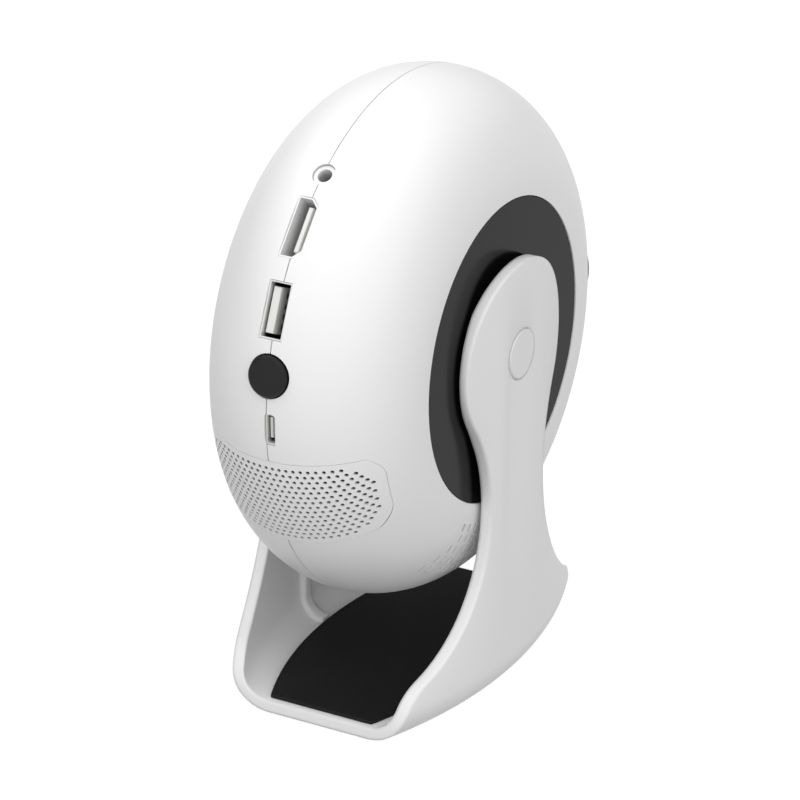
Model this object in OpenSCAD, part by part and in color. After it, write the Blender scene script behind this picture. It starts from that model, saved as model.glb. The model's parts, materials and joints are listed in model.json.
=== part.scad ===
// Table-top video projector: a round-edged puck that tilts between the arms of a one-piece stand.
// Millimetres. The origin is the middle of the base, on the table. The lens faces -Y, the sockets +Y.

/* [Body] */
// Radius of the round body
body_r = 65; // [60:0.5:72]
// Radius of the rounded rim, half the thickness of the body
rim_r = 27.4; // [26:0.1:30]
// Wall of the two moulded shells
shell_wall = 2; // [1.6:0.1:2.4]
// Width of the groove along the seam
seam_w = 0.3; // [0.2:0.05:0.6]
// Depth of the groove along the seam
seam_d = 0.5; // [0.3:0.1:1]
// Thickness of the dark side discs
disc_t = 1.6; // [1.2:0.1:2]
// How far the side discs lie below the rim
disc_recess = 0.2; // [0.1:0.1:0.4]
// Angle by which the lens dips at rest
rest_tilt = 5; // [0:1:15]

/* [Ports] */
// Angle of the audio jack above the back of the body
jack_at = 49.2; // [47:0.2:52]
// Angle of the video socket
video_at = 36.6; // [35:0.2:38]
// Angle of the data socket
data_at = 19; // [18:0.2:21]
// Angle of the power button
button_at = 5.5; // [4:0.2:6]
// Angle of the power inlet
inlet_at = -5.9; // [-6.4:0.2:-5]
// Radius of the power button
button_r = 5; // [4.5:0.1:5.4]
// How far the power button stands out
button_out = 1; // [0.6:0.1:1.5]
// Travel of the power button
button_travel = 0.5; // [0.3:0.1:0.6]

/* [Grille] */
// Angle of the middle of the speaker grille
grille_at = -24.4; // [-26:0.2:-24]
// Angle that the grille spans
grille_span = 22.2; // [20:0.2:23]
// Width of the grille, seen from behind
grille_w = 46.6; // [42:0.2:47.5]
// Corner radius of the grille
grille_corner = 9; // [6:0.5:10]
// Thickness of the grille panel
grille_t = 1.6; // [1.2:0.1:1.8]
// Diameter of a grille hole
grille_hole = 0.9; // [0.8:0.1:1.4]
// Distance between the holes of a row
grille_pitch = 1.7; // [1.7:0.1:3]

/* [Vents] */
// Number of rows of air slots in each shell
vent_rows = 5; // [3:1:5]
// Length of an air slot
vent_l = 1.9; // [1.4:0.1:2.2]
// Width of an air slot
vent_w = 1; // [0.8:0.1:1.4]
// Distance from row to row
vent_step = 2.9; // [2.6:0.1:3]
// Distance from slot to slot
vent_pitch = 3.1; // [2.8:0.1:3.6]

/* [Lens] */
// Radius of the focus ring
ring_r = 16.9; // [16.5:0.1:17.5]
// How far the focus ring stands out of the body
ring_out = 1; // [0.6:0.1:2]
// Radius of the lens barrel
barrel_r = 13; // [12:0.1:13.2]
// Radius of the lens glass
glass_r = 11.4; // [10:0.1:11.6]
// Travel of the lens barrel each way from rest
focus_travel = 1.5; // [1:0.1:1.8]

/* [Light engine] */
// Depth of the light tunnel, front to back
tunnel_d = 34; // [31:0.5:35]
// Distance from the lens axis down to the lamp
lamp_drop = 38; // [37:0.5:40]
// Wall of the light engine
engine_wall = 1.6; // [1.4:0.1:1.9]
// Thickness of the panes in the light path
pane_t = 1.5; // [1.2:0.1:2]
// Room between the shells and the heat sink or the fan
sink_room = 1.1; // [0.8:0.1:1.6]
// Thickness of a fin
fin_t = 1.2; // [0.8:0.1:1.6]
// Side of the square fan
fan_w = 25; // [23:0.5:25.5]
// Thickness of the fan
fan_t = 8; // [7:0.5:8.5]

/* [Speaker] */
// Radius of the speaker
speaker_r = 13; // [11:0.5:13.5]
// Depth of the speaker basket
speaker_d = 7; // [5:0.5:8]

/* [Stand] */
// Height of the pivot above the underside of the stand
pivot_rise = 88.5; // [86:0.5:100]
// Thickness of an arm at the pivot
head_t = 4.3; // [4:0.1:5]
// Thickness of the stand's floor and arms
stand_t = 3; // [2.6:0.1:3.4]
// Radius of an arm's bowed outer face, seen from above
bow_r = 120; // [115:1:140]
// Radius of an arm's round head
head_r = 23.6; // [22:0.2:25]
// Half the width of an arm at its waist
waist_w = 13.3; // [12:0.1:15]
// Height of the waist below the pivot
waist_drop = 35.5; // [34:0.5:38]
// Half the depth of the foot
foot_d = 43.5; // [42:0.5:46]
// Radius of the foot's upper corners
toe_r = 13; // [10:0.5:14]
// Radius from the floor up into the arms
corner_r = 9.5; // [8:0.5:11]
// Width of the rib inside an arm
rib_w = 3; // [2:0.5:4]
// How far the rib stands out of the arm
rib_t = 1.6; // [1:0.1:1.8]
// Thickness of the mat
mat_t = 1; // [0.6:0.1:1.4]
// Bare floor in front of and behind the mat
mat_margin = 1.8; // [1:0.1:3]
// Radius of a rubber foot
pad_r = 4; // [3:0.5:5]
// How far the rubber feet stand out
pad_out = 0.6; // [0.4:0.1:1]
// Radius of the pivot studs
stud_r = 3.5; // [3:0.1:3.8]
// Radius of the pivot caps
cap_r = 6.3; // [6:0.1:7]

/* [Fits] */
// Room between a shaft and its bore
run_gap = 0.05; // [0.03:0.01:0.08]
// Room between parts that pass each other
pass_gap = 0.35; // [0.3:0.05:0.5]
// Room around a part that is dropped into place
seat_gap = 0.1; // [0.05:0.05:0.15]

/* [Hidden] */
$fn = 96;

eps = 0.01;
reach = 3 * body_r;

// Body
core_r = body_r - rim_r;
disc_seat = disc_t + disc_recess;
side_in = rim_r - disc_seat - shell_wall;
inner_r = body_r - shell_wall;
pivot_h = pivot_rise + pad_out;

// Stand
arm_in = rim_r + 0.5;
arm_out = arm_in + head_t;
bow_axis = bow_r - arm_out;
waist_r = (waist_w * waist_w + waist_drop * waist_drop - head_r * head_r) / (2 * (head_r - waist_w));
toe_y = foot_d - toe_r;
toe_z = -waist_drop - sqrt(pow(waist_r + toe_r, 2) - pow(waist_w + waist_r - toe_y, 2));
waist_y = waist_w + waist_r;
pad_t = pad_out + 0.8;
web_t = 1.4;
cap_t = 1;
rib_top = pivot_rise - core_r - 9;
screw_head_r = stud_r + 1.7;
screw_head_t = 1.2;
foot_x = 11;
foot_y = foot_d - 8;
washer_t = 0.3;

// Sockets on the main board, and the radius from which their openings are cut
cut_from = inner_r - 7;
board_t = 1.6;
board_face = -2.3;
board_r = inner_r - 1.3;
board_w = 26;
board_top = jack_at + 8.5;
board_foot = inlet_at - 3.9;
post_r = 2.6;
board_hole_r = 1.1;
board_screw_r = 0.8;
board_screw_l = 5;
jack_r = 2.75;
jack_hole_r = 1.8;
jack_l = 12;
nose_l = 2.4;
jack_w = 6;
jack_back = 1.5;
jack_sink = 0.9;
video_size = [5.6, 15, 11];
data_size = [5.9, 13.4, 13];
inlet_size = [2.7, 7.8, 5.6];
metal_t = 0.35;
port_sink = 0.6;
// Tongues of the sockets: thickness, length, and place across the socket
data_tongue = [1.9, 10.6, 1.15];
video_tongue = [1, 11, -0.6];
inlet_tongue = [0.6, 5, 0.4];
tongue_sink = 1;
button_edge = 0.8;
flange_r = button_r + 1.3;
flange_top = core_r + sqrt(pow(rim_r - shell_wall, 2) - pow(flange_r, 2)) - pass_gap;
flange_t = 1;
stem_l = 2;
stem_r = 1.5;
switch_top = flange_top - flange_t - stem_l - button_travel - seat_gap;

// Light engine
engine_out = side_in - 2;
tunnel_w = 2 * (engine_out - engine_wall);
mirror_y = 2;
tunnel_front = mirror_y - tunnel_d / 2;
tunnel_back = mirror_y + tunnel_d / 2;
groove_d = engine_wall / 2;
field_z = -tunnel_d / 2 - pane_t - 2.2;
pane_step = 2 * pane_t;
condenser_z = -lamp_drop + 7.5;
led_t = 1.6;
sink_base = 3;
fin_step = 3.6;
sink_front = tunnel_front - engine_wall - 2.4;
sink_w = 2 * (engine_out - 3.6);
mirror_t = 1.1;
sink_back = tunnel_back + engine_wall;
fin_edge = core_r + sqrt(pow(rim_r - shell_wall, 2) - pow(sink_w / 2, 2)) - sink_room;
fin_h = sqrt(pow(fin_edge, 2) - pow(sink_back, 2)) - lamp_drop - led_t - sink_base;
fan_edge = core_r + sqrt(pow(rim_r - shell_wall, 2) - pow(fan_w / 2, 2)) - sink_room;
fan_z = fan_w / 2 - sqrt(pow(fan_edge, 2) - pow(fan_t - sink_front, 2));
hub_r = fan_w * 0.22;
fan_bore = fan_w / 2 - 0.8;
fan_pin_r = 1;
fan_plate = 1;
pane_levels = [condenser_z, field_z - 2 * pane_step, field_z - pane_step, field_z];
stud_flange_t = side_in - engine_out - seat_gap;
stud_flange_r = 2.4 * stud_r;
stud_end = arm_in + web_t + seat_gap + washer_t;

// Lens
ring_front = body_r + ring_out;
tube_r = barrel_r + 2.2;
tube_front = body_r - 12;
ring_back = tube_front + pass_gap;
barrel_front = ring_front - 1.6 - focus_travel - pass_gap;
barrel_back = -tunnel_front + engine_wall + focus_travel + pass_gap;
lens_land = 2;
grips = 36;
glass_edge = 3;
bezel_in = ring_r + pass_gap;
bezel_r = bezel_in + 1;
bezel_flange = bezel_r + 1.4;
bezel_back = core_r + sqrt(pow(rim_r - shell_wall, 2) - pow(bezel_flange, 2)) - 1.6;
retainer_t = 1.6;
front_seat = barrel_front - 7;
rear_seat = barrel_back + 7;

// Grille: bare rim around the holes, and distance from row to row over the pitch
grille_rim = 1.6;
row_ratio = 0.895;

// Vents: distance of the first row from the disc, half its angle and what each row adds to that
vent_in = 6;
vent_half = 20.5;
vent_spread = 1.75;

// Speaker
speaker_top = core_r + sqrt(pow(rim_r - shell_wall, 2) - pow(speaker_r, 2)) - 1;
magnet_r = speaker_r * 0.55;
magnet_t = 4;

// Places of the four screws that close the shells, as [Y, Z] from the pivot
shell_screw_at = [
  [tunnel_front + 27, core_r - 6.6],
  [tunnel_back + 11, -8],
  [tunnel_front - 11, tube_r + 6.5],
  [tunnel_front - 12, -tube_r - 3.2]
];
boss_r = 2.7;
shell_screw_r = 1.2;
shell_screw_head = 2.4;

// Places of the board screws, as [radius, angle]
post_at = board_r - board_w + 4;
board_screw_at = [[post_at, jack_at], [post_at, data_at + 6], [post_at, inlet_at + 3]];

shell_white = [0.94, 0.94, 0.94];
charcoal = [0.2, 0.2, 0.21];
ink = [0.08, 0.08, 0.09];
steel = [0.72, 0.73, 0.75];
glass = [0.75, 0.85, 0.9];
board_green = [0.1, 0.35, 0.2];

// Puts the body's own frame, with its origin on the pivot, in the stand.
module body_frame() translate([0, 0, pivot_h]) rotate([rest_tilt, 0, 0]) children();

// Turns a Z axis to X.
module along_x() rotate([0, 90, 0]) children();

// Turns a Z axis to -Y, towards the lens.
module to_front() rotate([90, 0, 0]) children();

// Stands an outline drawn in Y and Z along X, centred.
module yz_extrude(h) rotate([90, 0, 90]) linear_extrude(h, center = true) children();

// Local frame on the rim: Z outwards, X across the body, Y down along the rim.
module at_rim(angle) rotate([angle - 90, 0, 0]) children();

module both_sides() {
  children();
  mirror([1, 0, 0]) children();
}

module ring(r_out, r_in, h) difference() {
  cylinder(r = r_out, h = h);
  translate([0, 0, -1]) cylinder(r = r_in, h = h + 2);
}

module rounded_rect(w, h, r) {
  square([w - 2 * r, h], center = true);
  square([w, h - 2 * r], center = true);
  for (i = [-1, 1], j = [-1, 1]) translate([i * (w / 2 - r), j * (h / 2 - r)]) circle(r);
}

// Half section of the body, drawn as radius and distance from the seam.
module half_puck(off) {
  a = rim_r - off;
  square([core_r, a]);
  translate([core_r, 0]) intersection() {
    circle(a);
    square(a);
  }
}

// The whole body's outline as a solid, drawn in by off.
module puck(off) along_x() rotate_extrude() {
  half_puck(off);
  mirror([0, 1]) half_puck(off);
}

// The wedge of the rim that the grille fills.
module grille_zone(grow) {
  half = grille_span / 2 + grow;
  far = 2 * body_r;
  intersection() {
    yz_extrude(2 * body_r) polygon([
      [0, 0],
      far * [cos(grille_at - half), sin(grille_at - half)],
      far * [cos(grille_at + half), sin(grille_at + half)]
    ]);
    at_rim(grille_at) translate([0, 0, body_r / 2]) linear_extrude(body_r)
      rounded_rect(grille_w + 2 * grow, body_r * sin(grille_span / 2) * 2 + 1 + 2 * grow, grille_corner);
  }
}

// Outline of the video socket across the body: its two corners on the -X side are cut off.
module video_outline(grow) {
  w = video_size[0] / 2 + grow;
  l = video_size[1] / 2 + grow;
  cut = video_size[0] * 0.32;
  translate([board_face + video_size[0] / 2, 0])
    polygon([[w, -l], [w, l], [cut - w, l], [-w, l - cut], [-w, cut - l], [cut - w, -l]]);
}

module vent_slots() {
  for (row = [0:vent_rows - 1]) {
    r = core_r + vent_in + row * vent_step;
    step = vent_pitch / r * 180 / PI;
    n = floor((vent_half + vent_spread * row) / step);
    for (j = [-n:n]) rotate([j * step, 0, 0]) translate([0, -vent_w / 2, -r - vent_l / 2])
      cube([body_r, vent_w, vent_l]);
  }
}

// All openings through the shells along the rim.
module rim_openings() {
  at_rim(jack_at) translate([0, 0, cut_from]) cylinder(r = jack_r + seat_gap, h = body_r);
  at_rim(video_at) translate([0, 0, cut_from]) linear_extrude(body_r) video_outline(seat_gap);
  at_rim(data_at) translate([board_face - seat_gap, -data_size[1] / 2 - seat_gap, cut_from])
    cube([data_size[0] + 2 * seat_gap, data_size[1] + 2 * seat_gap, body_r]);
  at_rim(inlet_at) translate([board_face + inlet_size[0] / 2, 0, cut_from]) linear_extrude(body_r)
    rounded_rect(inlet_size[0] + 2 * seat_gap, inlet_size[1] + 2 * seat_gap, 1);
  at_rim(button_at) translate([0, 0, cut_from]) cylinder(r = button_r + pass_gap, h = body_r);
  to_front() translate([0, 0, core_r]) cylinder(r = bezel_r + seat_gap, h = body_r);
  grille_zone(seat_gap);
}

// One moulded half of the body, on the +X side of the seam.
module shell_half() along_x() rotate_extrude() difference() {
  half_puck(0);
  intersection() {
    half_puck(shell_wall);
    translate([0, -1]) square([body_r, side_in + 1]);
  }
  translate([0, rim_r - disc_seat]) square([core_r, disc_seat + 1]);
  translate([body_r - seam_d, -1]) square([seam_d + 1, 1 + seam_w / 2]);
  translate([0, -1]) square([stud_r + run_gap, rim_r + 2]);
}

// Pads that hold the light engine between the shells.
module engine_pads() {
  y_in = engine_wall + 4;
  for (p = [
    [tunnel_front + y_in, -lamp_drop + 5],
    [tunnel_back - y_in, -lamp_drop + 5],
    [tunnel_front + engine_wall + 2, tunnel_d / 4]
  ]) translate([engine_out, p[0], p[1]]) along_x() cylinder(r = 3, h = side_in - engine_out + eps);
}

module shell_bosses(bore_r) for (p = shell_screw_at) translate([0, p[0], p[1]]) along_x() difference() {
  cylinder(r = boss_r, h = side_in + eps);
  translate([0, 0, -1]) cylinder(r = bore_r, h = side_in - 1);
}

module left_shell() color(shell_white) body_frame() {
  difference() {
    union() {
      shell_half();
      engine_pads();
      shell_bosses(shell_screw_r + run_gap);
    }
    rim_openings();
    vent_slots();
  }
}

module right_shell() color(shell_white) body_frame() difference() {
  union() {
    mirror([1, 0, 0]) {
      shell_half();
      engine_pads();
      shell_bosses(shell_screw_r + 0.4);
    }
    for (p = board_screw_at) rotate([p[1], 0, 0]) translate([-side_in - eps, p[0], 0]) along_x()
      cylinder(r = post_r, h = side_in + board_face - board_t + eps);
  }
  rim_openings();
  mirror([1, 0, 0]) vent_slots();
  for (p = shell_screw_at) translate([-rim_r, p[0], p[1]]) along_x() {
    cylinder(r = shell_screw_r + 0.4, h = rim_r);
    cylinder(r = shell_screw_head + pass_gap, h = disc_seat + 1.4);
  }
  for (p = board_screw_at) rotate([p[1], 0, 0])
    translate([board_face - board_t - board_screw_l - 2, p[0], 0]) along_x()
      cylinder(r = board_screw_r + run_gap, h = board_screw_l + 3);
}

module side_disc() along_x() translate([0, 0, rim_r - disc_seat])
  ring(core_r - seat_gap, stud_r + pass_gap, disc_t);

module left_disc() color(charcoal) body_frame() side_disc();

module right_disc() color(charcoal) body_frame() mirror([1, 0, 0]) side_disc();

// Perforated panel: rows of round holes, each row moved half a pitch.
module speaker_grille() color(shell_white) body_frame() {
  row_step = grille_pitch * row_ratio / body_r * 180 / PI;
  rows = floor((grille_span / 2 - grille_rim) / row_step);
  across = floor((grille_w / 2 - grille_rim) / grille_pitch);
  corner_x = grille_w / 2 - grille_corner;
  corner_u = body_r * sin(grille_span / 2) - grille_corner;
  intersection() {
    difference() {
      puck(0);
      puck(grille_t);
      for (k = [-rows:rows], j = [-across - abs(k % 2):across]) {
        x = (j + (k % 2 == 0 ? 0 : 0.5)) * grille_pitch;
        u = abs(body_r * sin(k * row_step));
        in_corner = norm([max(abs(x) - corner_x, 0), max(u - corner_u, 0)]);
        if (in_corner < grille_corner - grille_rim * 0.75) at_rim(grille_at + k * row_step)
          translate([x, 0, core_r]) cylinder(r = grille_hole / 2, h = body_r, $fn = 24);
      }
    }
    grille_zone(0);
  }
}

// Pivot: steel studs in the shells turn in the arms, held by a screw and a spring washer under a cap.

module pivot_studs() color(steel) body_frame() both_sides() along_x() difference() {
  union() {
    translate([0, 0, side_in - stud_flange_t]) cylinder(r = stud_flange_r, h = stud_flange_t);
    translate([0, 0, side_in - eps]) cylinder(r = stud_r, h = stud_end - side_in + eps);
  }
  translate([0, 0, side_in]) cylinder(r = stud_r / 2, h = rim_r);
}

module pivot_screws() color(steel) body_frame() both_sides() along_x() difference() {
  union() {
    translate([0, 0, stud_end]) cylinder(r = screw_head_r, h = screw_head_t);
    translate([0, 0, side_in + 0.6]) cylinder(r = stud_r / 2 - run_gap, h = stud_end - side_in);
  }
  translate([0, 0, stud_end + screw_head_t - 0.7]) cylinder(r = 1.6, h = 2, $fn = 6);
}

module spring_washers() color(steel) body_frame() both_sides() along_x()
  translate([0, 0, stud_end - washer_t]) ring(screw_head_r - 0.2, stud_r + seat_gap, washer_t);

module friction_washers() color(ink) body_frame() both_sides() along_x()
  translate([0, 0, rim_r - disc_recess])
    ring(stud_flange_r, stud_r + seat_gap, arm_in - rim_r + disc_recess - seat_gap);

module pivot_caps() color(shell_white) translate([0, 0, pivot_h]) both_sides() along_x()
  translate([0, 0, arm_out - cap_t]) cylinder(r = cap_r - seat_gap, h = cap_t + 0.1);

module shell_screws() color(steel) body_frame() for (p = shell_screw_at)
  translate([seat_gap - rim_r + disc_seat, p[0], p[1]]) along_x() {
    cylinder(r = shell_screw_head, h = 1.4 - seat_gap);
    cylinder(r = shell_screw_r, h = side_in + 9);
  }

// Outline of an arm seen from the side, with its pivot at the origin.
// Head, waist and toes run into each other.
module arm_outline() {
  circle(head_r);
  translate([-foot_d, -pivot_rise]) square([2 * foot_d, pivot_rise + toe_z]);
  for (side = [0, 1]) mirror([side, 0]) {
    difference() {
      polygon([
        [-1, 0],
        [0, 0],
        [waist_y, -waist_drop],
        [toe_y, toe_z],
        [toe_y, toe_z - 1],
        [-1, toe_z - 1]
      ]);
      translate([waist_y, -waist_drop]) circle(waist_r + eps);
    }
    translate([toe_y, toe_z]) circle(toe_r);
  }
}

// Section of the stand's wall and corner between two depths.
// Drawn as radius from the bow's axis and height.
module wall_section(from, to, top) {
  translate([bow_r - to, corner_r]) square([to - from, top - corner_r]);
  translate([bow_r - corner_r, corner_r]) intersection() {
    difference() {
      circle(corner_r - from);
      circle(corner_r - to);
    }
    translate([0, -corner_r]) square(corner_r);
  }
}

// The stand on its -X side: a bowed wall that turns into the floor, trimmed to the arm's outline.
module stand_wall() intersection() {
  translate([bow_axis, 0, 0]) rotate_extrude($fn = 180) {
    wall_section(0, stand_t, pivot_rise + head_r + 1);
    translate([bow_axis - corner_r, 0]) square([arm_out, stand_t]);
  }
  translate([-arm_out / 2 - 1, 0, pivot_rise]) yz_extrude(arm_out + 2) arm_outline();
}

// Rib up the middle of the arm's inner face, from the floor to below the body.
module stand_rib() intersection() {
  translate([bow_axis, 0, 0]) rotate_extrude($fn = 180)
    wall_section(stand_t / 2, stand_t + rib_t, rib_top);
  translate([-arm_out, -rib_w / 2, 0]) cube([arm_out, rib_w, pivot_rise]);
}

module stand_half() difference() {
  union() {
    stand_wall();
    stand_rib();
    translate([-arm_out + 1, 0, pivot_rise]) along_x() cylinder(r = head_r / 2, h = head_t);
  }
  translate([-arm_in, 0, pivot_rise]) along_x() cylinder(r = core_r + 8, h = arm_in);
  translate([-arm_out - 1, 0, pivot_rise]) along_x() {
    cylinder(r = stud_r + run_gap, h = arm_out);
    cylinder(r = screw_head_r + pass_gap, h = head_t - web_t + 1);
    cylinder(r = cap_r, h = cap_t + 1);
  }
}

module foot_places() for (i = [-1, 1], j = [-1, 1]) translate([i * foot_x, j * foot_y, 0]) children();

module stand() color(shell_white) translate([0, 0, pad_out]) difference() {
  union() {
    stand_half();
    mirror([1, 0, 0]) stand_half();
  }
  foot_places() translate([0, 0, -1]) cylinder(r = pad_r + seat_gap, h = pad_t - pad_out + 1);
}

module rubber_feet() color(ink) foot_places() cylinder(r = pad_r, h = pad_t);

module stand_mat() color(ink) translate([0, 0, pad_out + stand_t]) linear_extrude(mat_t) intersection() {
  translate([bow_axis, 0]) circle(bow_r - corner_r - 4 * seat_gap, $fn = 180);
  translate([-bow_axis, 0]) circle(bow_r - corner_r - 4 * seat_gap, $fn = 180);
  square([2 * arm_out, 2 * (foot_d - mat_margin)], center = true);
}

// Main board, lying beside the seam, with its sockets along the curved edge.
module main_board() color(board_green) body_frame() difference() {
  translate([board_face - board_t / 2, 0, 0]) yz_extrude(board_t) intersection() {
    difference() {
      circle(board_r);
      circle(board_r - board_w);
    }
    polygon([[0, 0], reach * [cos(board_foot), sin(board_foot)], reach * [cos(board_top), sin(board_top)]]);
  }
  for (p = board_screw_at) rotate([p[1], 0, 0]) translate([-rim_r, p[0], 0]) along_x()
    cylinder(r = board_hole_r, h = rim_r);
  at_rim(button_at) translate([-rim_r, -flange_r - 1, switch_top + 0.4])
    cube([rim_r, 2 * flange_r + 2, body_r]);
}

module board_screws() color(steel) body_frame() for (p = board_screw_at) rotate([p[1], 0, 0])
  translate([board_face, p[0], 0]) along_x() {
    cylinder(r = board_hole_r + 0.8, h = 1.2);
    translate([0, 0, -board_t - board_screw_l]) cylinder(r = board_screw_r, h = board_t + board_screw_l);
  }

module audio_jack() color(ink) body_frame() at_rim(jack_at) translate([0, 0, body_r - jack_sink])
  difference() {
    union() {
      translate([0, 0, -nose_l]) cylinder(r = jack_r, h = nose_l);
      translate([board_face, -jack_w / 2, -jack_l - jack_back])
        cube([-2 * board_face, jack_w, jack_l + jack_back - nose_l]);
    }
    translate([0, 0, -jack_l]) cylinder(r = jack_hole_r, h = jack_l + 1);
  }

// Metal can of a socket, open outwards at z = 0.
module socket_can(size) difference() {
  translate([-size[0] / 2, -size[1] / 2, -size[2]]) cube(size);
  translate([metal_t - size[0] / 2, metal_t - size[1] / 2, 1 - size[2]])
    cube([size[0] - 2 * metal_t, size[1] - 2 * metal_t, size[2]]);
}

// Tongue in a socket, from the can's floor up to below the mouth at z = 0.
module tongue(size, depth) translate([size[2] - size[0] / 2, -size[1] / 2, 0.5 - depth])
  cube([size[0], size[1], depth - 0.5 - tongue_sink]);

module data_socket() color(steel) body_frame() at_rim(data_at)
  translate([board_face + data_size[0] / 2, 0, body_r - port_sink]) {
    socket_can(data_size);
    tongue(data_tongue, data_size[2]);
  }

module video_socket() color(steel) body_frame() at_rim(video_at) translate([0, 0, body_r - port_sink]) {
  difference() {
    translate([0, 0, -video_size[2]]) linear_extrude(video_size[2]) video_outline(0);
    translate([0, 0, 1 - video_size[2]]) linear_extrude(video_size[2]) video_outline(-metal_t);
  }
  translate([board_face + video_size[0] / 2, 0, 0]) tongue(video_tongue, video_size[2]);
}

module power_inlet() color(steel) body_frame() at_rim(inlet_at)
  translate([board_face + inlet_size[0] / 2, 0, body_r - port_sink]) {
    difference() {
      translate([0, 0, -inlet_size[2]]) linear_extrude(inlet_size[2])
        rounded_rect(inlet_size[0], inlet_size[1], 0.9);
      translate([0, 0, 1 - inlet_size[2]]) linear_extrude(inlet_size[2])
        rounded_rect(inlet_size[0] - 2 * metal_t, inlet_size[1] - 2 * metal_t, 0.6);
    }
    tongue(inlet_tongue, inlet_size[2]);
  }

module power_switch() color(ink) body_frame() at_rim(button_at) {
  translate([board_face, -3, switch_top - 4.7]) cube([3.6, 6, 4]);
  translate([0, 0, switch_top - 2]) cylinder(r = 1, h = 2);
}

// Button with a rounded edge, a flange inside the shells and a stem towards the switch.
module power_button() color(ink) body_frame() at_rim(button_at) translate([0, 0, flange_top - flange_t])
  rotate_extrude() {
    cap_h = body_r + button_out - flange_top + flange_t;
    square([button_r - button_edge, cap_h]);
    square([button_r, cap_h - button_edge]);
    translate([button_r - button_edge, cap_h - button_edge]) circle(button_edge);
    square([flange_r, flange_t]);
    translate([0, -stem_l]) square([stem_r, stem_l + eps]);
  }

// Light engine: lamp below, panes above it, a mirror at 45 degrees and the lens tube in front.
module engine_housing() color(ink) body_frame() difference() {
  slope = engine_wall * sqrt(2);
  union() {
    yz_extrude(2 * engine_out) polygon([
      [tunnel_front - engine_wall, -lamp_drop],
      [tunnel_back, -lamp_drop],
      [tunnel_back, mirror_y - tunnel_back + slope],
      [tunnel_front - engine_wall, mirror_y - tunnel_front + engine_wall + slope]
    ]);
    to_front() translate([0, 0, -tunnel_front]) cylinder(r = tube_r, h = tube_front + tunnel_front);
  }
  yz_extrude(tunnel_w) polygon([
    [tunnel_front, -lamp_drop - 1],
    [tunnel_back + 1, -lamp_drop - 1],
    [tunnel_back + 1, mirror_y - tunnel_back - 1],
    [tunnel_front, mirror_y - tunnel_front]
  ]);
  to_front() translate([0, 0, -tunnel_front - 5]) cylinder(r = barrel_r + run_gap, h = body_r);
  for (z = pane_levels) translate([-tunnel_w / 2 - groove_d, tunnel_front, z - seat_gap])
    cube([tunnel_w + 2 * groove_d, tunnel_d + 1, pane_t + 2 * seat_gap]);
}

module engine_cover() color(ink) body_frame() translate([-engine_out, tunnel_back, -lamp_drop])
  cube([2 * engine_out, engine_wall, lamp_drop - tunnel_d / 2]);

module pane(z) translate([seat_gap - tunnel_w / 2 - groove_d, tunnel_front + seat_gap, z])
  cube([tunnel_w + 2 * groove_d - 2 * seat_gap, tunnel_d - 2 * seat_gap, pane_t]);

module condenser_lens() color(glass) body_frame() {
  dome_r = tunnel_d / 2 - 4;
  dome_h = 5.4;
  ball_r = (dome_r * dome_r + dome_h * dome_h) / (2 * dome_h);
  pane(condenser_z);
  translate([0, mirror_y, condenser_z + ball_r - dome_h]) difference() {
    sphere(ball_r);
    translate([-ball_r, -ball_r, dome_h - ball_r + 0.2]) cube(2 * ball_r);
  }
}

module collimating_lens() color(glass) body_frame() pane(pane_levels[1]);

module lcd_panel() color(charcoal) body_frame() pane(pane_levels[2]);

module field_lens() color(glass) body_frame() pane(pane_levels[3]);

module fold_mirror() color(steel) body_frame() translate([0, mirror_y, 0]) rotate([-45, 0, 0])
  translate([seat_gap - tunnel_w / 2, 2 - tunnel_d / sqrt(2), -mirror_t - run_gap])
    cube([tunnel_w - 2 * seat_gap, tunnel_d * sqrt(2) - 4, mirror_t]);

module led_board() color(board_green) body_frame() {
  translate([1 - engine_out, tunnel_front - 1, -lamp_drop - led_t])
    cube([2 * engine_out - 2, tunnel_d + 2, led_t]);
  translate([0, mirror_y, -lamp_drop - eps]) cylinder(r = 6, h = 1);
}

module heat_sink() color(steel) body_frame() {
  top = -lamp_drop - led_t;
  l = sink_back - sink_front;
  fins = floor(sink_w / 2 / fin_step);
  step = (sink_w - fin_t) / (2 * fins);
  translate([-sink_w / 2, sink_front, top - sink_base]) cube([sink_w, l, sink_base]);
  for (i = [-fins:fins]) translate([i * step - fin_t / 2, sink_front, top - sink_base - fin_h])
    cube([fin_t, l, fin_h + eps]);
}

// Fan, standing against the front of the heat sink, with its axis along Y.
module fan_place() body_frame() translate([0, sink_front, fan_z]) to_front() children();

module fan_frame() color(ink) fan_place() {
  difference() {
    translate([-fan_w / 2, -fan_w / 2, 0]) cube([fan_w, fan_w, fan_t]);
    translate([0, 0, -1]) cylinder(r = fan_bore, h = fan_t + 2);
  }
  cylinder(r = hub_r, h = fan_plate);
  for (a = [30, 150, 270]) rotate([0, 0, a]) translate([0, -0.8, 0]) cube([fan_bore + 0.4, 1.6, fan_plate]);
  cylinder(r = fan_pin_r, h = fan_t / 2);
}

module fan_impeller() color(charcoal) fan_place() {
  low = fan_plate + pass_gap;
  high = fan_t - 0.5;
  difference() {
    translate([0, 0, low]) cylinder(r = hub_r, h = high - low);
    translate([0, 0, low - 1]) cylinder(r = fan_pin_r + run_gap, h = fan_t / 2);
  }
  intersection() {
    translate([0, 0, low]) ring(fan_bore - 0.5, hub_r - 0.3, high - low);
    for (i = [0:6]) rotate([0, 0, i * 360 / 7]) translate([0, 0, (low + high) / 2]) rotate([40, 0, 0])
      translate([0, -0.4, -fan_t]) cube([fan_bore, 0.8, 2 * fan_t]);
  }
}

// Speaker behind the grille, with a foam gasket up to the shells.
module speaker_place() body_frame() at_rim(grille_at) translate([0, 0, speaker_top]) children();

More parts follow.
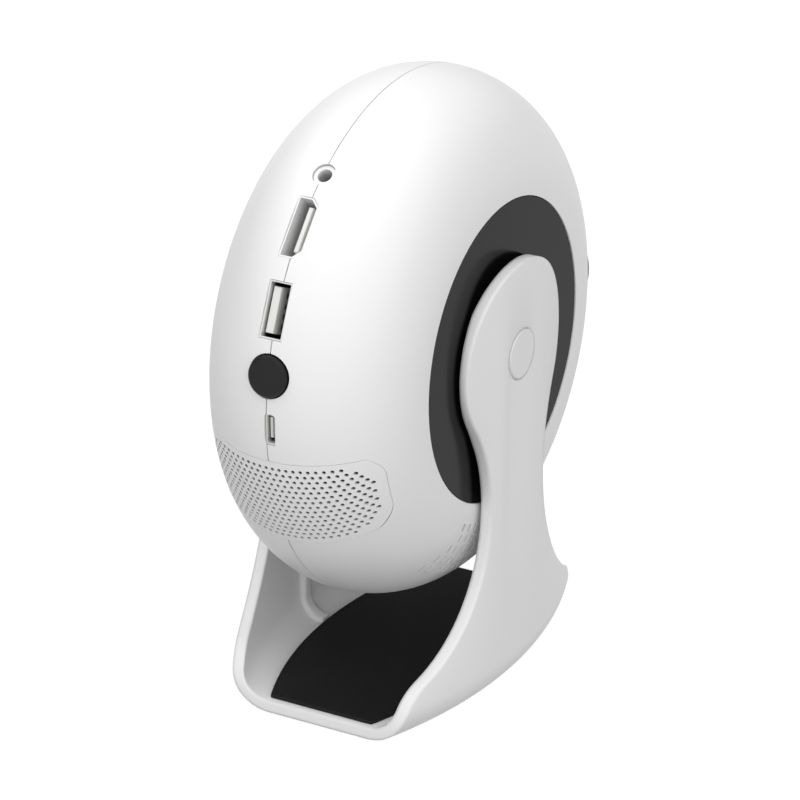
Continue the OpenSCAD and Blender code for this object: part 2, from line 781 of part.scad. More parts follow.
module speaker_frame() color(ink) speaker_place() rotate_extrude() polygon([
  [speaker_r - 2, 0],
  [speaker_r, 0],
  [speaker_r, -1.2],
  [speaker_r - 0.8, -1.2],
  [magnet_r + 1, -speaker_d],
  [0, -speaker_d],
  [0, 1.2 - speaker_d],
  [magnet_r + 0.2, 1.2 - speaker_d],
  [speaker_r - 2, -1.2]
]);

module speaker_cone() color(charcoal) speaker_place() rotate_extrude() polygon([
  [speaker_r - 2.1, 0],
  [speaker_r - 2.6, 0],
  [speaker_r * 0.35, 2.6 - speaker_d],
  [0, 3.2 - speaker_d],
  [0, 2.4 - speaker_d],
  [speaker_r * 0.35, 1.8 - speaker_d],
  [speaker_r - 2.1, -0.9]
]);

module speaker_magnet() color(steel) speaker_place() translate([0, 0, -speaker_d - magnet_t])
  cylinder(r = magnet_r, h = magnet_t);

module speaker_gasket() color(ink) speaker_place() ring(speaker_r, speaker_r - 1.6, 1 - seat_gap);

// Lens: a collar in the shells, the ribbed focus ring and the barrel that it drives.
module lens_bezel() color(charcoal) body_frame() difference() {
  union() {
    intersection() {
      to_front() translate([0, 0, bezel_back]) cylinder(r = bezel_r, h = body_r);
      puck(0);
    }
    to_front() translate([0, 0, bezel_back]) cylinder(r = bezel_flange, h = 1.4);
  }
  to_front() cylinder(r = bezel_in, h = 2 * body_r);
}

module focus_ring() color(charcoal) body_frame() to_front() difference() {
  translate([0, 0, ring_back]) cylinder(r = ring_r, h = ring_front - ring_back);
  translate([0, 0, ring_back - 1]) cylinder(r = barrel_r + run_gap, h = ring_front - ring_back - 0.2);
  translate([0, 0, ring_back]) cylinder(r = glass_r, h = body_r);
  for (i = [1:grips]) rotate([0, 0, i * 360 / grips]) translate([ring_r + 0.3, 0, ring_front - 7])
    cylinder(r = 0.7, h = 5.5, $fn = 24);
}

module lens_barrel() color(ink) body_frame() to_front() difference() {
  translate([0, 0, barrel_back]) cylinder(r = barrel_r, h = barrel_front - barrel_back);
  translate([0, 0, barrel_back - 1]) cylinder(r = glass_r - 2, h = body_r);
  translate([0, 0, front_seat]) cylinder(r = glass_r + seat_gap, h = body_r);
  translate([0, 0, barrel_back - 1]) cylinder(r = glass_r + seat_gap, h = rear_seat - barrel_back + 1);
  translate([0, 0, rear_seat + lens_land])
    cylinder(r = glass_r + seat_gap, h = front_seat - rear_seat - 2 * lens_land);
}

// Round glass with a flat edge and a domed face each side.
module lens_glass() {
  dome = glass_r - 2;
  rise = 1.6;
  ball_r = (dome * dome + rise * rise) / (2 * rise);
  rotate_extrude() {
    square([glass_r, glass_edge]);
    for (side = [0, 1]) translate([0, side * glass_edge]) mirror([0, 1 - side]) intersection() {
      translate([0, rise - ball_r]) circle(ball_r);
      square([dome, rise]);
    }
  }
}

module front_lens() color(glass) body_frame() to_front() translate([0, 0, front_seat]) lens_glass();

module rear_lens() color(glass) body_frame() to_front() translate([0, 0, rear_seat - glass_edge])
  lens_glass();

// Rings that hold the two glasses in the barrel.
module lens_retainer() color(ink) body_frame() to_front()
  for (z = [front_seat + glass_edge, rear_seat - glass_edge - retainer_t])
    translate([0, 0, z]) ring(glass_r + run_gap, glass_r - 1.8, retainer_t);

stand();
stand_mat();
rubber_feet();
pivot_caps();
right_shell();
left_shell();
right_disc();
left_disc();
speaker_grille();
pivot_studs();
pivot_screws();
spring_washers();
friction_washers();
shell_screws();
main_board();
board_screws();
audio_jack();
video_socket();
data_socket();
power_inlet();
power_switch();
engine_housing();
engine_cover();
led_board();
heat_sink();
condenser_lens();
collimating_lens();
lcd_panel();
field_lens();
fold_mirror();
lens_bezel();
fan_frame();
speaker_frame();
speaker_cone();
speaker_magnet();
speaker_gasket();
focus_ring();
lens_barrel();
front_lens();
rear_lens();
lens_retainer();
power_button();
fan_impeller();
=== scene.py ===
"""Looks of a table-top video projector: a round-edged disc body that tilts in a one-piece stand."""

import json
import math
from collections import namedtuple

import bpy
from mathutils import Matrix, Vector


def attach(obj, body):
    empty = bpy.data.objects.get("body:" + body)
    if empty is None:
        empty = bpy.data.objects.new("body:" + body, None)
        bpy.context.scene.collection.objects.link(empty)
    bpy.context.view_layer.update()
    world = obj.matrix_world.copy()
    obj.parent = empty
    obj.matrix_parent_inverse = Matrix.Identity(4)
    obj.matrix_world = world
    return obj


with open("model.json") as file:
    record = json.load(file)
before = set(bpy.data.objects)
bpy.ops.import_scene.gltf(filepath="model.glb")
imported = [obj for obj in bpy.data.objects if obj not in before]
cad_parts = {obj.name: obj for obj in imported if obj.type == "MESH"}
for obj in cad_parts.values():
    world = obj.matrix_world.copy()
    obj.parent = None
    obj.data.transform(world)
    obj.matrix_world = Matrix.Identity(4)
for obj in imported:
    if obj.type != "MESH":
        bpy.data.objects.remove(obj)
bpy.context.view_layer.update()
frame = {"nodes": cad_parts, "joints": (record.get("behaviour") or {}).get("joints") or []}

MM = 0.001

# The body tilts about this pivot, and at rest its lens dips by this angle
TILT = next(joint for joint in frame["joints"] if joint["name"] == "tilt")
PIVOT = Vector(TILT["pos_m"])
DIP = math.radians(5.0)

# Sizes of the body that the added pieces follow, in millimetres
BODY_R = 65.0
RIM_R = 27.4
CORE_R = BODY_R - RIM_R
GRILLE_AT = -24.4
GRILLE_T = 1.6
BOARD_FACE = -2.3
PORT_SINK = 0.6
TONGUE_SINK = 1.0

# Each socket: its angle on the rim in degrees, width and depth of its can, thickness, length and place of its
# tongue, then number, width and pitch of the contacts on it, in millimetres
Socket = namedtuple("Socket", "angle can_w can_d tongue_t tongue_l tongue_at contacts contact_w pitch")
SOCKETS = {
    "video": Socket(angle=36.6, can_w=5.6, can_d=11.0, tongue_t=1.0, tongue_l=11.0, tongue_at=-0.6,
                    contacts=10, contact_w=0.5, pitch=1.0),
    "data": Socket(angle=19.0, can_w=5.9, can_d=13.0, tongue_t=1.9, tongue_l=10.6, tongue_at=1.15,
                   contacts=4, contact_w=1.1, pitch=2.4),
    "inlet": Socket(angle=-5.9, can_w=2.7, can_d=5.6, tongue_t=0.6, tongue_l=5.0, tongue_at=0.4,
                    contacts=5, contact_w=0.4, pitch=0.8),
}

# The insulator over each tongue, and the contacts on it, in millimetres
COVER_T = 0.1
COVER_ROOT = 1.2
LEAD_IN = 0.25
CONTACT_PROUD = 0.1
CONTACT_SUNK = 0.05
CONTACT_ROOT = 1.4
CONTACT_BACK = 2.6
CONTACT_CROWN = 0.06

# Dark gauze behind the grille, put in as painted shade for its holes: its wall and gap,
# then where it is trimmed, in millimetres and degrees
GAUZE_T = 0.2
GAUZE_GAP = 0.06
GAUZE_DEPTH = 44.0
GAUZE_HALF_W = 22.7
GAUZE_CORNER = 30.0
GAUZE_HALF_ANGLE = 10.6

# Edges: where an edge counts as sharp, and the rounding of moulded outer edges in millimetres
SHARP = math.radians(32.0)
ROUND_STEPS = 4
ROUNDED = {"stand": 0.9, "pivot_caps": 0.25, "right_disc": 0.3, "left_disc": 0.3, "stand_mat": 0.3,
           "rubber_feet": 0.4}
WELD_GAP = 0.002

# Camera of the photograph
CAMERA_AT = Vector((-432.288, 775.103, 468.605)) * MM
CAMERA_LOOKS = Vector((0.44529, -0.79616, -0.40968))
CAMERA_LENS = 179.46
SENSOR = 36.0
NEAREST = 10.0 * MM

# Light of the photograph: a key and a fill sun, a sky that is darker below and on one side, and a small
# accent on the top of the left shell
KEY_FROM = Vector((-0.22, 0.58, 0.78))
KEY_POWER = 3.22
KEY_SPREAD = 135.0
FILL_FROM = Vector((0.05, -0.98, 0.08))
FILL_POWER = 0.45
FILL_SPREAD = 40.0
SKY_HIGH = 0.25
SKY_LOW = 0.22
SKY_TURN = 0.4
SHADY_SIDE = Vector((0.873, 0.488, 0.0))
SHADE = 0.05
ACCENT_AT = Vector((200.0, 0.0, 390.0)) * MM
ACCENT_ON = Vector((21.0, 4.0, 146.0)) * MM
ACCENT_POWER = 2.8
ACCENT_CONE = 13.0
ACCENT_SOFT = 40.0 * MM
FLOOR_SIZE = 12.0
FLOOR_GLOW = 0.95

# Typical refraction of the plastics and the glass
PLASTIC_IOR = 1.53
GLASS_IOR = 1.52

# Places of a colour mix's sockets
MIX_FACTOR = 0
MIX_FIRST = 6
MIX_SECOND = 7
MIX_COLOUR = 2

# Phase that a wave texture of scale 1 runs through in one metre
WAVE_PHASE = 20.0


def linear(hex_colour):
    """sRGB hex value as linear RGBA."""
    channels = [int(hex_colour[i:i + 2], 16) / 255 for i in (1, 3, 5)]
    return [c / 12.92 if c <= 0.04045 else ((c + 0.055) / 1.055) ** 2.4 for c in channels] + [1.0]


def per_metre(size_mm):
    """Texture scale for a pattern whose features are size_mm apart."""
    return 1.0 / (size_mm * MM)


def new_material(name):
    """A material with its node tree and its shader."""
    material = bpy.data.materials.new(name)
    material.use_nodes = True
    return material, material.node_tree, material.node_tree.nodes["Principled BSDF"]


def add(tree, kind, inputs=None, links=None, **settings):
    """One node with its settings, its input values and its incoming links."""
    node = tree.nodes.new(kind)
    for key, value in settings.items():
        setattr(node, key, value)
    for key, value in (inputs or {}).items():
        node.inputs[key].default_value = value
    for key, source in (links or {}).items():
        tree.links.new(source, node.inputs[key])
    return node


def depth_below_rim(tree, place):
    """Depth of a point below the body's round rim, in metres."""
    own = add(tree, "ShaderNodeVectorMath", {1: PIVOT}, {0: place.outputs["Object"]}, operation="SUBTRACT")
    axes = add(tree, "ShaderNodeSeparateXYZ", links={"Vector": own.outputs["Vector"]})
    flat = add(tree, "ShaderNodeCombineXYZ", links={"Y": axes.outputs["Y"], "Z": axes.outputs["Z"]})
    radius = add(tree, "ShaderNodeVectorMath", links={0: flat.outputs["Vector"]}, operation="LENGTH")
    out = add(tree, "ShaderNodeMath", {1: CORE_R * MM}, {0: radius.outputs["Value"]}, operation="SUBTRACT")
    clear = add(tree, "ShaderNodeMath", {1: 0.0}, {0: out.outputs["Value"]}, operation="MAXIMUM")
    section = add(tree, "ShaderNodeCombineXYZ", links={"X": axes.outputs["X"], "Y": clear.outputs["Value"]})
    reach = add(tree, "ShaderNodeVectorMath", links={0: section.outputs["Vector"]}, operation="LENGTH")
    return add(tree, "ShaderNodeMath", {0: RIM_R * MM}, {1: reach.outputs["Value"]}, operation="SUBTRACT")


# Painted shade on the walls within an opening: its tone, and the depths below the rim at which it starts
# and is full
Inside = namedtuple("Inside", "tone start_mm full_mm")


def painted_recess_shade(tree, place, colour, recess_shade):
    """Painted shade: colour that goes over to a darker tone with depth below the rim, on walls within
    openings.
    """
    below = depth_below_rim(tree, place)
    cover = add(tree, "ShaderNodeMapRange",
                {"From Min": recess_shade.start_mm * MM, "From Max": recess_shade.full_mm * MM},
                {"Value": below.outputs["Value"]})
    return add(tree, "ShaderNodeMix", {MIX_FIRST: linear(colour), MIX_SECOND: linear(recess_shade.tone)},
               {MIX_FACTOR: cover.outputs["Result"]}, data_type="RGBA")


def moulded(name, colour, roughness, grain_mm, depth_mm, mottle, specular=0.5, recess_shade=None, edge_mm=0.0):
    """Moulded plastic or rubber: the mould's eroded face leaves a fine grain, and the sheen varies with it.

    The grain is drawn a few times as coarse as real so that it shows, and a faint mottle follows the flow of
    the plastic. Edges that the mould has rounded by edge_mm catch the light as a soft line.
    """
    flow_mm = 28.0
    sheen_varies = 0.04
    material, tree, shader = new_material(name)
    place = add(tree, "ShaderNodeTexCoord")
    grain = add(tree, "ShaderNodeTexNoise", {"Scale": per_metre(grain_mm), "Detail": 3.0, "Roughness": 0.6},
                {"Vector": place.outputs["Object"]})
    flow = add(tree, "ShaderNodeTexNoise", {"Scale": per_metre(flow_mm), "Detail": 2.0},
               {"Vector": place.outputs["Object"]})
    deeper = [c * (1 - mottle) for c in linear(colour)[:3]] + [1.0]
    tint = add(tree, "ShaderNodeMix", {MIX_FIRST: deeper, MIX_SECOND: linear(colour)},
               {MIX_FACTOR: flow.outputs["Fac"]}, data_type="RGBA")
    gloss = add(tree, "ShaderNodeMapRange",
                {"To Min": roughness - sheen_varies, "To Max": roughness + sheen_varies},
                {"Value": grain.outputs["Fac"]})
    bump = add(tree, "ShaderNodeBump", {"Strength": 0.35, "Distance": depth_mm * MM},
               {"Height": grain.outputs["Fac"]})
    if edge_mm:
        rounded = add(tree, "ShaderNodeBevel", {"Radius": edge_mm * MM}, samples=8)
        tree.links.new(rounded.outputs["Normal"], bump.inputs["Normal"])
    surface = tint
    # Painted shade darkens the walls within openings with their depth below the rim
    if recess_shade:
        surface = painted_recess_shade(tree, place, colour, recess_shade)
        tree.links.new(tint.outputs[MIX_COLOUR], surface.inputs[MIX_FIRST])
    tree.links.new(surface.outputs[MIX_COLOUR], shader.inputs["Base Color"])
    tree.links.new(gloss.outputs["Result"], shader.inputs["Roughness"])
    tree.links.new(bump.outputs["Normal"], shader.inputs["Normal"])
    shader.inputs["Specular IOR Level"].default_value = specular
    shader.inputs["IOR"].default_value = PLASTIC_IOR
    return material


def plated(name, colour, roughness, mark_mm, metallic=1.0, recess_shade=None):
    """Rolled metal, mostly plated: short marks run along the strip, and a satin plating scatters more light.

    The marks are drawn a few times as coarse as real so that they show.
    """
    mark_stretch = (1.0, 0.12, 1.0)
    mark_depth_mm = 0.01
    smoother, rougher = 0.06, 0.1
    material, tree, shader = new_material(name)
    place = add(tree, "ShaderNodeTexCoord")
    along = add(tree, "ShaderNodeMapping", {"Scale": mark_stretch}, {"Vector": place.outputs["Object"]})
    marks = add(tree, "ShaderNodeTexNoise", {"Scale": per_metre(mark_mm), "Detail": 4.0},
                {"Vector": along.outputs["Vector"]})
    gloss = add(tree, "ShaderNodeMapRange", {"To Min": roughness - smoother, "To Max": roughness + rougher},
                {"Value": marks.outputs["Fac"]})
    bump = add(tree, "ShaderNodeBump", {"Strength": 0.2, "Distance": mark_depth_mm * MM},
               {"Height": marks.outputs["Fac"]})
    tree.links.new(gloss.outputs["Result"], shader.inputs["Roughness"])
    tree.links.new(bump.outputs["Normal"], shader.inputs["Normal"])
    shader.inputs["Base Color"].default_value = linear(colour)
    shader.inputs["Metallic"].default_value = metallic
    # Painted shade darkens the walls within openings with their depth below the rim
    if recess_shade:
        surface = painted_recess_shade(tree, place, colour, recess_shade)
        tree.links.new(surface.outputs[MIX_COLOUR], shader.inputs["Base Color"])
    return material


def optical_glass(name, tint, coat):
    """Polished and coated glass: clear, with a faint coloured gloss that specks of dust break up."""
    dust_mm = 1.4
    polished, dusty = 0.02, 0.08
    material, tree, shader = new_material(name)
    place = add(tree, "ShaderNodeTexCoord")
    dust = add(tree, "ShaderNodeTexNoise", {"Scale": per_metre(dust_mm), "Detail": 5.0},
               {"Vector": place.outputs["Object"]})
    gloss = add(tree, "ShaderNodeMapRange", {"From Min": 0.45, "To Min": polished, "To Max": dusty},
                {"Value": dust.outputs["Fac"]})
    tree.links.new(gloss.outputs["Result"], shader.inputs["Roughness"])
    shader.inputs["Base Color"].default_value = linear(tint)
    shader.inputs["Transmission Weight"].default_value = 0.9
    shader.inputs["IOR"].default_value = GLASS_IOR
    shader.inputs["Coat Weight"].default_value = 0.6
    shader.inputs["Coat Tint"].default_value = linear(coat)
    return material


def shade_gauze(name, colour, gap_colour, pitch_mm):
    """Steel gauze in dark paint, put behind the grille as painted shade for its holes: its wires cross over
    and under, so some holes look darker than others.

    Its pitch is drawn many times as coarse as real, because a fine one is lost behind the small holes.
    """
    material, tree, shader = new_material(name)
    place = add(tree, "ShaderNodeTexCoord")
    across, along = [
        add(tree, "ShaderNodeTexWave", {"Scale": math.tau * per_metre(pitch_mm) / WAVE_PHASE},
            {"Vector": place.outputs["Object"]}, bands_direction=direction)
        for direction in ("X", "Z")]
    weave = add(tree, "ShaderNodeMath", links={0: across.outputs["Fac"], 1: along.outputs["Fac"]},
                operation="MULTIPLY")
    shade = add(tree, "ShaderNodeMix", {MIX_FIRST: linear(gap_colour), MIX_SECOND: linear(colour)},
                {MIX_FACTOR: weave.outputs["Value"]}, data_type="RGBA")
    bump = add(tree, "ShaderNodeBump", {"Strength": 0.6, "Distance": 0.1 * MM},
               {"Height": weave.outputs["Value"]})
    tree.links.new(shade.outputs[MIX_COLOUR], shader.inputs["Base Color"])
    tree.links.new(bump.outputs["Normal"], shader.inputs["Normal"])
    shader.inputs["Roughness"].default_value = 0.6
    return material


# Sprayed ABS of the shells: an even satin white with broad highlights, and painted shade that greys the
# walls within the openings
WHITE_ABS = moulded("sprayed_white_abs", "#eeeeee", roughness=0.40, grain_mm=0.5, depth_mm=0.012,
                    mottle=0.015, recess_shade=Inside("#6c6c6c", start_mm=0.2, full_mm=1.0))
# The same spray on the grille, with painted shade that darkens the walls of its small holes
GRILLE_ABS = moulded("sprayed_grille_abs", "#eeeeee", roughness=0.40, grain_mm=0.5, depth_mm=0.012,
                     mottle=0.015, recess_shade=Inside("#2a2a2a", start_mm=0.1, full_mm=0.6))
# Moulded ABS of the stand: slightly duller than the shells, with a soft line of light along its edges
STAND_ABS = moulded("stand_white_abs", "#ebebeb", roughness=0.44, grain_mm=0.5, depth_mm=0.012, mottle=0.015,
                    edge_mm=1.3)
# The same ABS on the pivot caps, with an edge that fits their size
CAP_ABS = moulded("cap_white_abs", "#ebebeb", roughness=0.44, grain_mm=0.5, depth_mm=0.012, mottle=0.015,
                  edge_mm=1.2)
# Moulded charcoal ABS around the lens: nearly black and dull, so that the ribs show by their shadows
CHARCOAL_ABS = moulded("charcoal_abs", "#141415", roughness=0.5, grain_mm=0.4, depth_mm=0.02, mottle=0.06,
                       specular=0.2)
# Charcoal ABS from a smooth mould face on the discs: a low sheen in which the arm is a dark band
DISC_ABS = moulded("satin_charcoal_abs", "#090909", roughness=0.17, grain_mm=0.4, depth_mm=0.0015,
                   mottle=0.06, specular=0.085)
# Moulded black ABS: dark, with a weak satin sheen
BLACK_ABS = moulded("black_abs", "#101011", roughness=0.45, grain_mm=0.35, depth_mm=0.015, mottle=0.06,
                    specular=0.25)
# The same black ABS on the button, whose edge catches a thin line of light
BUTTON_ABS = moulded("button_abs", "#101011", roughness=0.45, grain_mm=0.35, depth_mm=0.015, mottle=0.06,
                     specular=0.25, edge_mm=0.9)
# Glass-filled nylon of the works: black and dull, with a coarse uneven grain from the fibres
ENGINE_NYLON = moulded("black_glass_filled_nylon", "#1d1d1e", roughness=0.55, grain_mm=0.6, depth_mm=0.03,
                       mottle=0.1)
# Foamed EVA of the mat: dark and matt, with a soft grain
MAT_RUBBER = moulded("mat_eva_rubber", "#101011", roughness=0.6, grain_mm=0.8, depth_mm=0.03, mottle=0.2,
                     specular=0.22)
# Rubber of the feet and the gasket: dark grey, without gloss
FOOT_RUBBER = moulded("foot_rubber", "#222223", roughness=0.7, grain_mm=0.5, depth_mm=0.03, mottle=0.1)
# Nylon of the jack: milky white, with painted shade that greys it down its bore
JACK_NYLON = moulded("jack_nylon", "#f0f0f0", roughness=0.5, grain_mm=0.4, depth_mm=0.01, mottle=0.03,
                     recess_shade=Inside("#b2b2b2", start_mm=0.9, full_mm=2.5))
# Nylon of the tongues: warm white, with painted shade that greys them towards the root
TONGUE_NYLON = moulded("tongue_nylon", "#e2e2df", roughness=0.55, grain_mm=0.4, depth_mm=0.01, mottle=0.03,
                       recess_shade=Inside("#b0b0ac", start_mm=1.6, full_mm=4.0))
# Cured solder mask on the boards: a glossy green with darker clouds
BOARD_MASK = moulded("board_solder_mask", "#1d5a38", roughness=0.35, grain_mm=1.2, depth_mm=0.01, mottle=0.2)
# Pressed paper of the cone: dark, fibrous and without gloss
CONE_PAPER = moulded("cone_paper", "#2a2a2a", roughness=0.85, grain_mm=0.7, depth_mm=0.05, mottle=0.2)
# Satin nickel on stamped steel cans: a pale rim, and painted shade that darkens the walls within
NICKEL = plated("satin_nickel_plated_steel", "#dededd", roughness=0.5, mark_mm=0.3, metallic=0.45,
                recess_shade=Inside("#3a3a3a", start_mm=0.9, full_mm=2.4))
# Paler nickel on the wider can, with painted shade that greys its inner wall only a little
PALE_NICKEL = plated("pale_nickel_plated_steel", "#ececec", roughness=0.5, mark_mm=0.3, metallic=0.3,
                     recess_shade=Inside("#c6c6c6", start_mm=1.2, full_mm=5.5))
# Tin on the sprung contacts: a grey glint on each
TIN = plated("tin_plated_bronze", "#b4b4b0", roughness=0.4, mark_mm=0.3)
# Gauze in dark paint, put in as painted shade for the grille's holes: dark grey wires over darker gaps
SHADE_GAUZE = shade_gauze("shade_steel_gauze", "#4c4c4d", "#141415", pitch_mm=3.14)
# Zinc on screws, studs and washers: a bluish grey gloss
ZINC = plated("zinc_plated_steel", "#b9bbbf", roughness=0.35, mark_mm=0.4)
# Extruded aluminium of the heat sink: a bright grey with drawn streaks
ALUMINIUM = plated("extruded_aluminium", "#c4c6c9", roughness=0.38, mark_mm=0.5)
# Silver on the front of the mirror: a clear reflection
MIRROR = plated("silvered_mirror", "#eef0f2", roughness=0.08, mark_mm=2.0)
# Coated lens glass: clear, with a violet gloss
LENS_GLASS = optical_glass("coated_lens_glass", "#f2f5fb", coat="#b48cff")
# Glass of the picture panel: smoky, with a bluish gloss
PANEL_GLASS = optical_glass("panel_glass", "#3b3f45", coat="#c8d4ff")

FINISHES = {
    WHITE_ABS: ["right_shell", "left_shell"],
    GRILLE_ABS: ["speaker_grille"],
    STAND_ABS: ["stand"],
    CAP_ABS: ["pivot_caps"],
    CHARCOAL_ABS: ["lens_bezel", "focus_ring"],
    DISC_ABS: ["right_disc", "left_disc"],
    BLACK_ABS: ["power_switch", "friction_washers"],
    BUTTON_ABS: ["power_button"],
    ENGINE_NYLON: ["engine_housing", "engine_cover", "fan_frame", "fan_impeller", "speaker_frame",
                   "lens_barrel", "lens_retainer"],
    MAT_RUBBER: ["stand_mat"],
    FOOT_RUBBER: ["rubber_feet", "speaker_gasket"],
    JACK_NYLON: ["audio_jack"],
    BOARD_MASK: ["main_board", "led_board"],
    CONE_PAPER: ["speaker_cone"],
    NICKEL: ["data_socket", "power_inlet"],
    PALE_NICKEL: ["video_socket"],
    ZINC: ["pivot_studs", "pivot_screws", "spring_washers", "shell_screws", "board_screws",
           "speaker_magnet"],
    ALUMINIUM: ["heat_sink"],
    MIRROR: ["fold_mirror"],
    LENS_GLASS: ["condenser_lens", "collimating_lens", "field_lens", "front_lens", "rear_lens"],
    PANEL_GLASS: ["lcd_panel"],
}


def dress_node(name, material):
    """Gives a solid its finish, closes its loose triangles, rounds its edges and keeps the others crisp."""
    node = frame["nodes"][name]
    node.data.materials.clear()
    node.data.materials.append(material)
    weld = node.modifiers.new("close", "WELD")
    weld.merge_threshold = WELD_GAP * MM
    if name in ROUNDED:
        edge = node.modifiers.new("edge", "BEVEL")
        edge.width = ROUNDED[name] * MM
        edge.segments = ROUND_STEPS
        edge.limit_method = "ANGLE"
        edge.angle_limit = SHARP
    crisp = node.modifiers.new("crisp", "EDGE_SPLIT")
    crisp.split_angle = SHARP
    crisp.use_edge_sharp = False


for finish, names in FINISHES.items():
    for name in names:
        dress_node(name, finish)


def start_block(name, low_mm, high_mm):
    """A block between two corners, alone in the selection."""
    low, high = Vector(low_mm) * MM, Vector(high_mm) * MM
    bpy.ops.object.select_all(action="DESELECT")
    bpy.ops.mesh.primitive_cube_add(size=1.0)
    block = bpy.context.object
    block.name = block.data.name = name
    block.location = (low + high) / 2
    block.scale = high - low
    bpy.ops.object.transform_apply(location=True, rotation=True, scale=True)
    return block


def pick_faces(piece, towards):
    """Goes to edit mode with only the faces selected that look that way."""
    nearly_along = 0.9
    bpy.ops.object.mode_set(mode="EDIT")
    bpy.ops.mesh.select_mode(type="FACE")
    bpy.ops.mesh.select_all(action="DESELECT")
    bpy.ops.object.mode_set(mode="OBJECT")
    for face in piece.data.polygons:
        face.select = face.normal.dot(Vector(towards)) > nearly_along
    bpy.ops.object.mode_set(mode="EDIT")


def apply_modifier(piece, kind, **settings):
    """Adds a modifier to the active piece and applies it."""
    modifier = piece.modifiers.new(kind.lower(), kind)
    for key, value in settings.items():
        setattr(modifier, key, value)
    bpy.ops.object.modifier_apply(modifier=modifier.name)


def place_on_body(piece, angle, offset_mm):
    """Moves a piece from the rim's own frame to the body.

    In that frame Z points outwards, X across the body and Y along the rim.
    """
    turn = Matrix.Rotation(math.radians(angle - 90.0) + DIP, 4, "X")
    piece.matrix_world = Matrix.Translation(PIVOT) @ turn @ Matrix.Translation(Vector(offset_mm) * MM)
    bpy.ops.object.select_all(action="DESELECT")
    piece.select_set(True)
    bpy.context.view_layer.objects.active = piece
    bpy.ops.object.transform_apply(location=True, rotation=True, scale=True)


def finish_piece(piece, material):
    """Smooths a piece on the body, gives it its finish and lets it tilt with the body."""
    bpy.ops.object.shade_smooth_by_angle(angle=SHARP)
    piece.data.materials.append(material)
    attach(piece, "projector")


def make_tongue(name, socket):
    """Pale insulator over a socket's tongue, with a rounded lead-in, and the row of sprung contacts on it."""
    centre = (BOARD_FACE + socket.can_w / 2, 0.0, BODY_R - PORT_SINK)
    face = socket.tongue_at - socket.tongue_t / 2 - COVER_T
    back = socket.tongue_at + socket.tongue_t / 2 + COVER_T
    side = socket.tongue_l / 2 + COVER_T
    front = COVER_T - TONGUE_SINK
    tongue = start_block(name + "_tongue", (face, -side, COVER_ROOT - socket.can_d), (back, side, front))
    pick_faces(tongue, (0, 0, 1))
    bpy.ops.mesh.bevel(offset=LEAD_IN * MM, segments=ROUND_STEPS, affect="EDGES")
    bpy.ops.object.mode_set(mode="OBJECT")
    place_on_body(tongue, socket.angle, centre)
    finish_piece(tongue, TONGUE_NYLON)

    first = -(socket.contacts - 1) * socket.pitch / 2
    half = socket.contact_w / 2
    contacts = start_block(name + "_contacts",
                           (face - CONTACT_PROUD, first - half, CONTACT_ROOT - socket.can_d),
                           (face + CONTACT_SUNK, first + half, front - CONTACT_BACK))
    pick_faces(contacts, (-1, 0, 0))
    bpy.ops.mesh.inset(thickness=CONTACT_CROWN * MM)
    bpy.ops.transform.translate(value=(-CONTACT_CROWN * MM, 0, 0))
    bpy.ops.object.mode_set(mode="OBJECT")
    apply_modifier(contacts, "ARRAY", count=socket.contacts, use_relative_offset=False,
                   use_constant_offset=True, constant_offset_displace=(0.0, socket.pitch * MM, 0.0))
    place_on_body(contacts, socket.angle, centre)
    finish_piece(contacts, TIN)


def make_shade_gauze():
    """Gauze behind the grille, put in as painted shade for its holes: a slice of a ring with the rim's round
    section, trimmed to the opening.
    """
    section_r = RIM_R - GRILLE_T - GAUZE_GAP
    half = math.radians(GAUZE_HALF_ANGLE)
    bpy.ops.object.select_all(action="DESELECT")
    bpy.ops.mesh.primitive_torus_add(major_radius=CORE_R * MM, minor_radius=section_r * MM,
                                     major_segments=240, minor_segments=96, rotation=(0, math.pi / 2, 0))
    gauze = bpy.context.object
    gauze.name = gauze.data.name = "grille_shade_gauze"
    bpy.ops.object.transform_apply(location=True, rotation=True, scale=True)
    cuts = [((0, 0, GAUZE_DEPTH), (0, 0, -1))]
    cuts += [((i * GAUZE_HALF_W, 0, 0), (i, 0, 0)) for i in (1, -1)]
    cuts += [((0, 0, 0), (0, i * math.cos(half), -math.sin(half))) for i in (1, -1)]
    cuts += [((i * GAUZE_CORNER, 0, 0), (i, j, 0)) for i in (-1, 1) for j in (-1, 1)]
    bpy.ops.object.mode_set(mode="EDIT")
    for at, towards in cuts:
        bpy.ops.mesh.select_all(action="SELECT")
        bpy.ops.mesh.bisect(plane_co=Vector(at) * MM, plane_no=towards, clear_outer=True)
    bpy.ops.object.mode_set(mode="OBJECT")
    apply_modifier(gauze, "SOLIDIFY", thickness=GAUZE_T * MM, offset=-1.0)
    place_on_body(gauze, GRILLE_AT, (0, 0, 0))
    finish_piece(gauze, SHADE_GAUZE)


for name, socket in SOCKETS.items():
    make_tongue(name, socket)
make_shade_gauze()


def aim(thing, towards):
    """Puts a camera or a light into the scene, looking that way."""
    bpy.context.collection.objects.link(thing)
    thing.rotation_euler = towards.to_track_quat("-Z", "Y").to_euler()


def make_camera():
    """Camera at the photograph's viewing angle."""
    data = bpy.data.cameras.new("photo_camera")
    data.lens = CAMERA_LENS
    data.sensor_width = SENSOR
    data.clip_start = NEAREST
    camera = bpy.data.objects.new("photo_camera", data)
    camera.location = CAMERA_AT
    aim(camera, CAMERA_LOOKS)
    bpy.context.scene.camera = camera


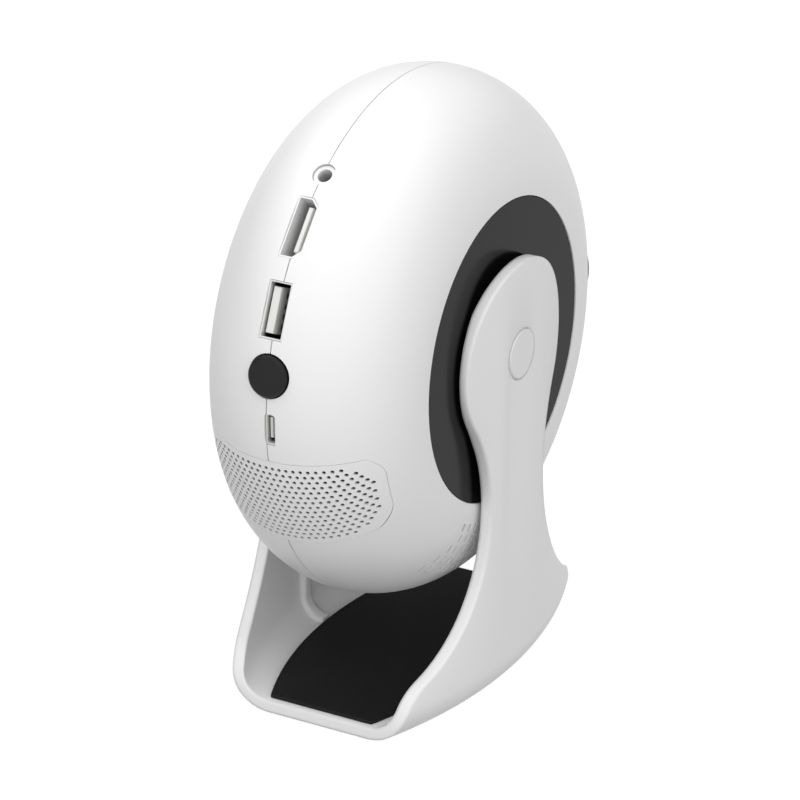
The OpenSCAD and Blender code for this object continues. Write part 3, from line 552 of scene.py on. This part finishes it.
def make_floor():
    """Pale paper floor that glows by itself, and shows in gloss but lights no matt surface."""
    bpy.ops.object.select_all(action="DESELECT")
    bpy.ops.mesh.primitive_plane_add(size=FLOOR_SIZE, location=(0, 0, 0))
    floor = bpy.context.object
    floor.name = "floor"
    floor.visible_diffuse = False
    paper, _, shader = new_material("lit_paper_floor")
    shader.inputs["Base Color"].default_value = linear("#606060")
    shader.inputs["Roughness"].default_value = 0.95
    shader.inputs["Specular IOR Level"].default_value = 0.1
    shader.inputs["Emission Color"].default_value = linear("#ffffff")
    shader.inputs["Emission Strength"].default_value = FLOOR_GLOW
    floor.data.materials.append(paper)


def make_sky():
    """Soft white sky that is darker below the horizon and towards the shady side."""
    world = bpy.data.worlds.new("soft_sky")
    world.use_nodes = True
    tree = world.node_tree
    sky = tree.nodes["Background"]
    way = add(tree, "ShaderNodeTexCoord")
    height = add(tree, "ShaderNodeSeparateXYZ", links={"Vector": way.outputs["Generated"]})
    glow = add(tree, "ShaderNodeMapRange",
               {"From Min": -SKY_TURN, "From Max": SKY_TURN, "To Min": SKY_LOW, "To Max": SKY_HIGH},
               {"Value": height.outputs["Z"]})
    side = add(tree, "ShaderNodeVectorMath", {1: SHADY_SIDE}, {0: way.outputs["Generated"]},
               operation="DOT_PRODUCT")
    shade = add(tree, "ShaderNodeMapRange", {"To Min": 1.0, "To Max": SHADE},
                {"Value": side.outputs["Value"]})
    strength = add(tree, "ShaderNodeMath", links={0: glow.outputs["Result"], 1: shade.outputs["Result"]},
                   operation="MULTIPLY")
    tree.links.new(strength.outputs["Value"], sky.inputs["Strength"])
    sky.inputs["Color"].default_value = linear("#ffffff")
    bpy.context.scene.world = world


def make_sun(name, power, spread, source, in_gloss):
    """Broad sun from one side, which glossy surfaces mirror or not."""
    data = bpy.data.lights.new(name, "SUN")
    data.energy = power
    data.angle = math.radians(spread)
    light = bpy.data.objects.new(name, data)
    aim(light, -source)
    light.visible_glossy = in_gloss


def make_accent():
    """Small soft spot on the top of the left shell."""
    data = bpy.data.lights.new("accent", "SPOT")
    data.energy = ACCENT_POWER
    data.spot_size = math.radians(ACCENT_CONE)
    data.spot_blend = 1.0
    data.shadow_soft_size = ACCENT_SOFT
    accent = bpy.data.objects.new("accent", data)
    accent.location = ACCENT_AT
    aim(accent, ACCENT_ON - ACCENT_AT)


make_camera()
make_floor()
make_sky()
make_sun("key", KEY_POWER, KEY_SPREAD, KEY_FROM, in_gloss=True)
make_sun("fill", FILL_POWER, FILL_SPREAD, FILL_FROM, in_gloss=False)
make_accent()
bpy.context.scene.view_settings.view_transform = "Standard"
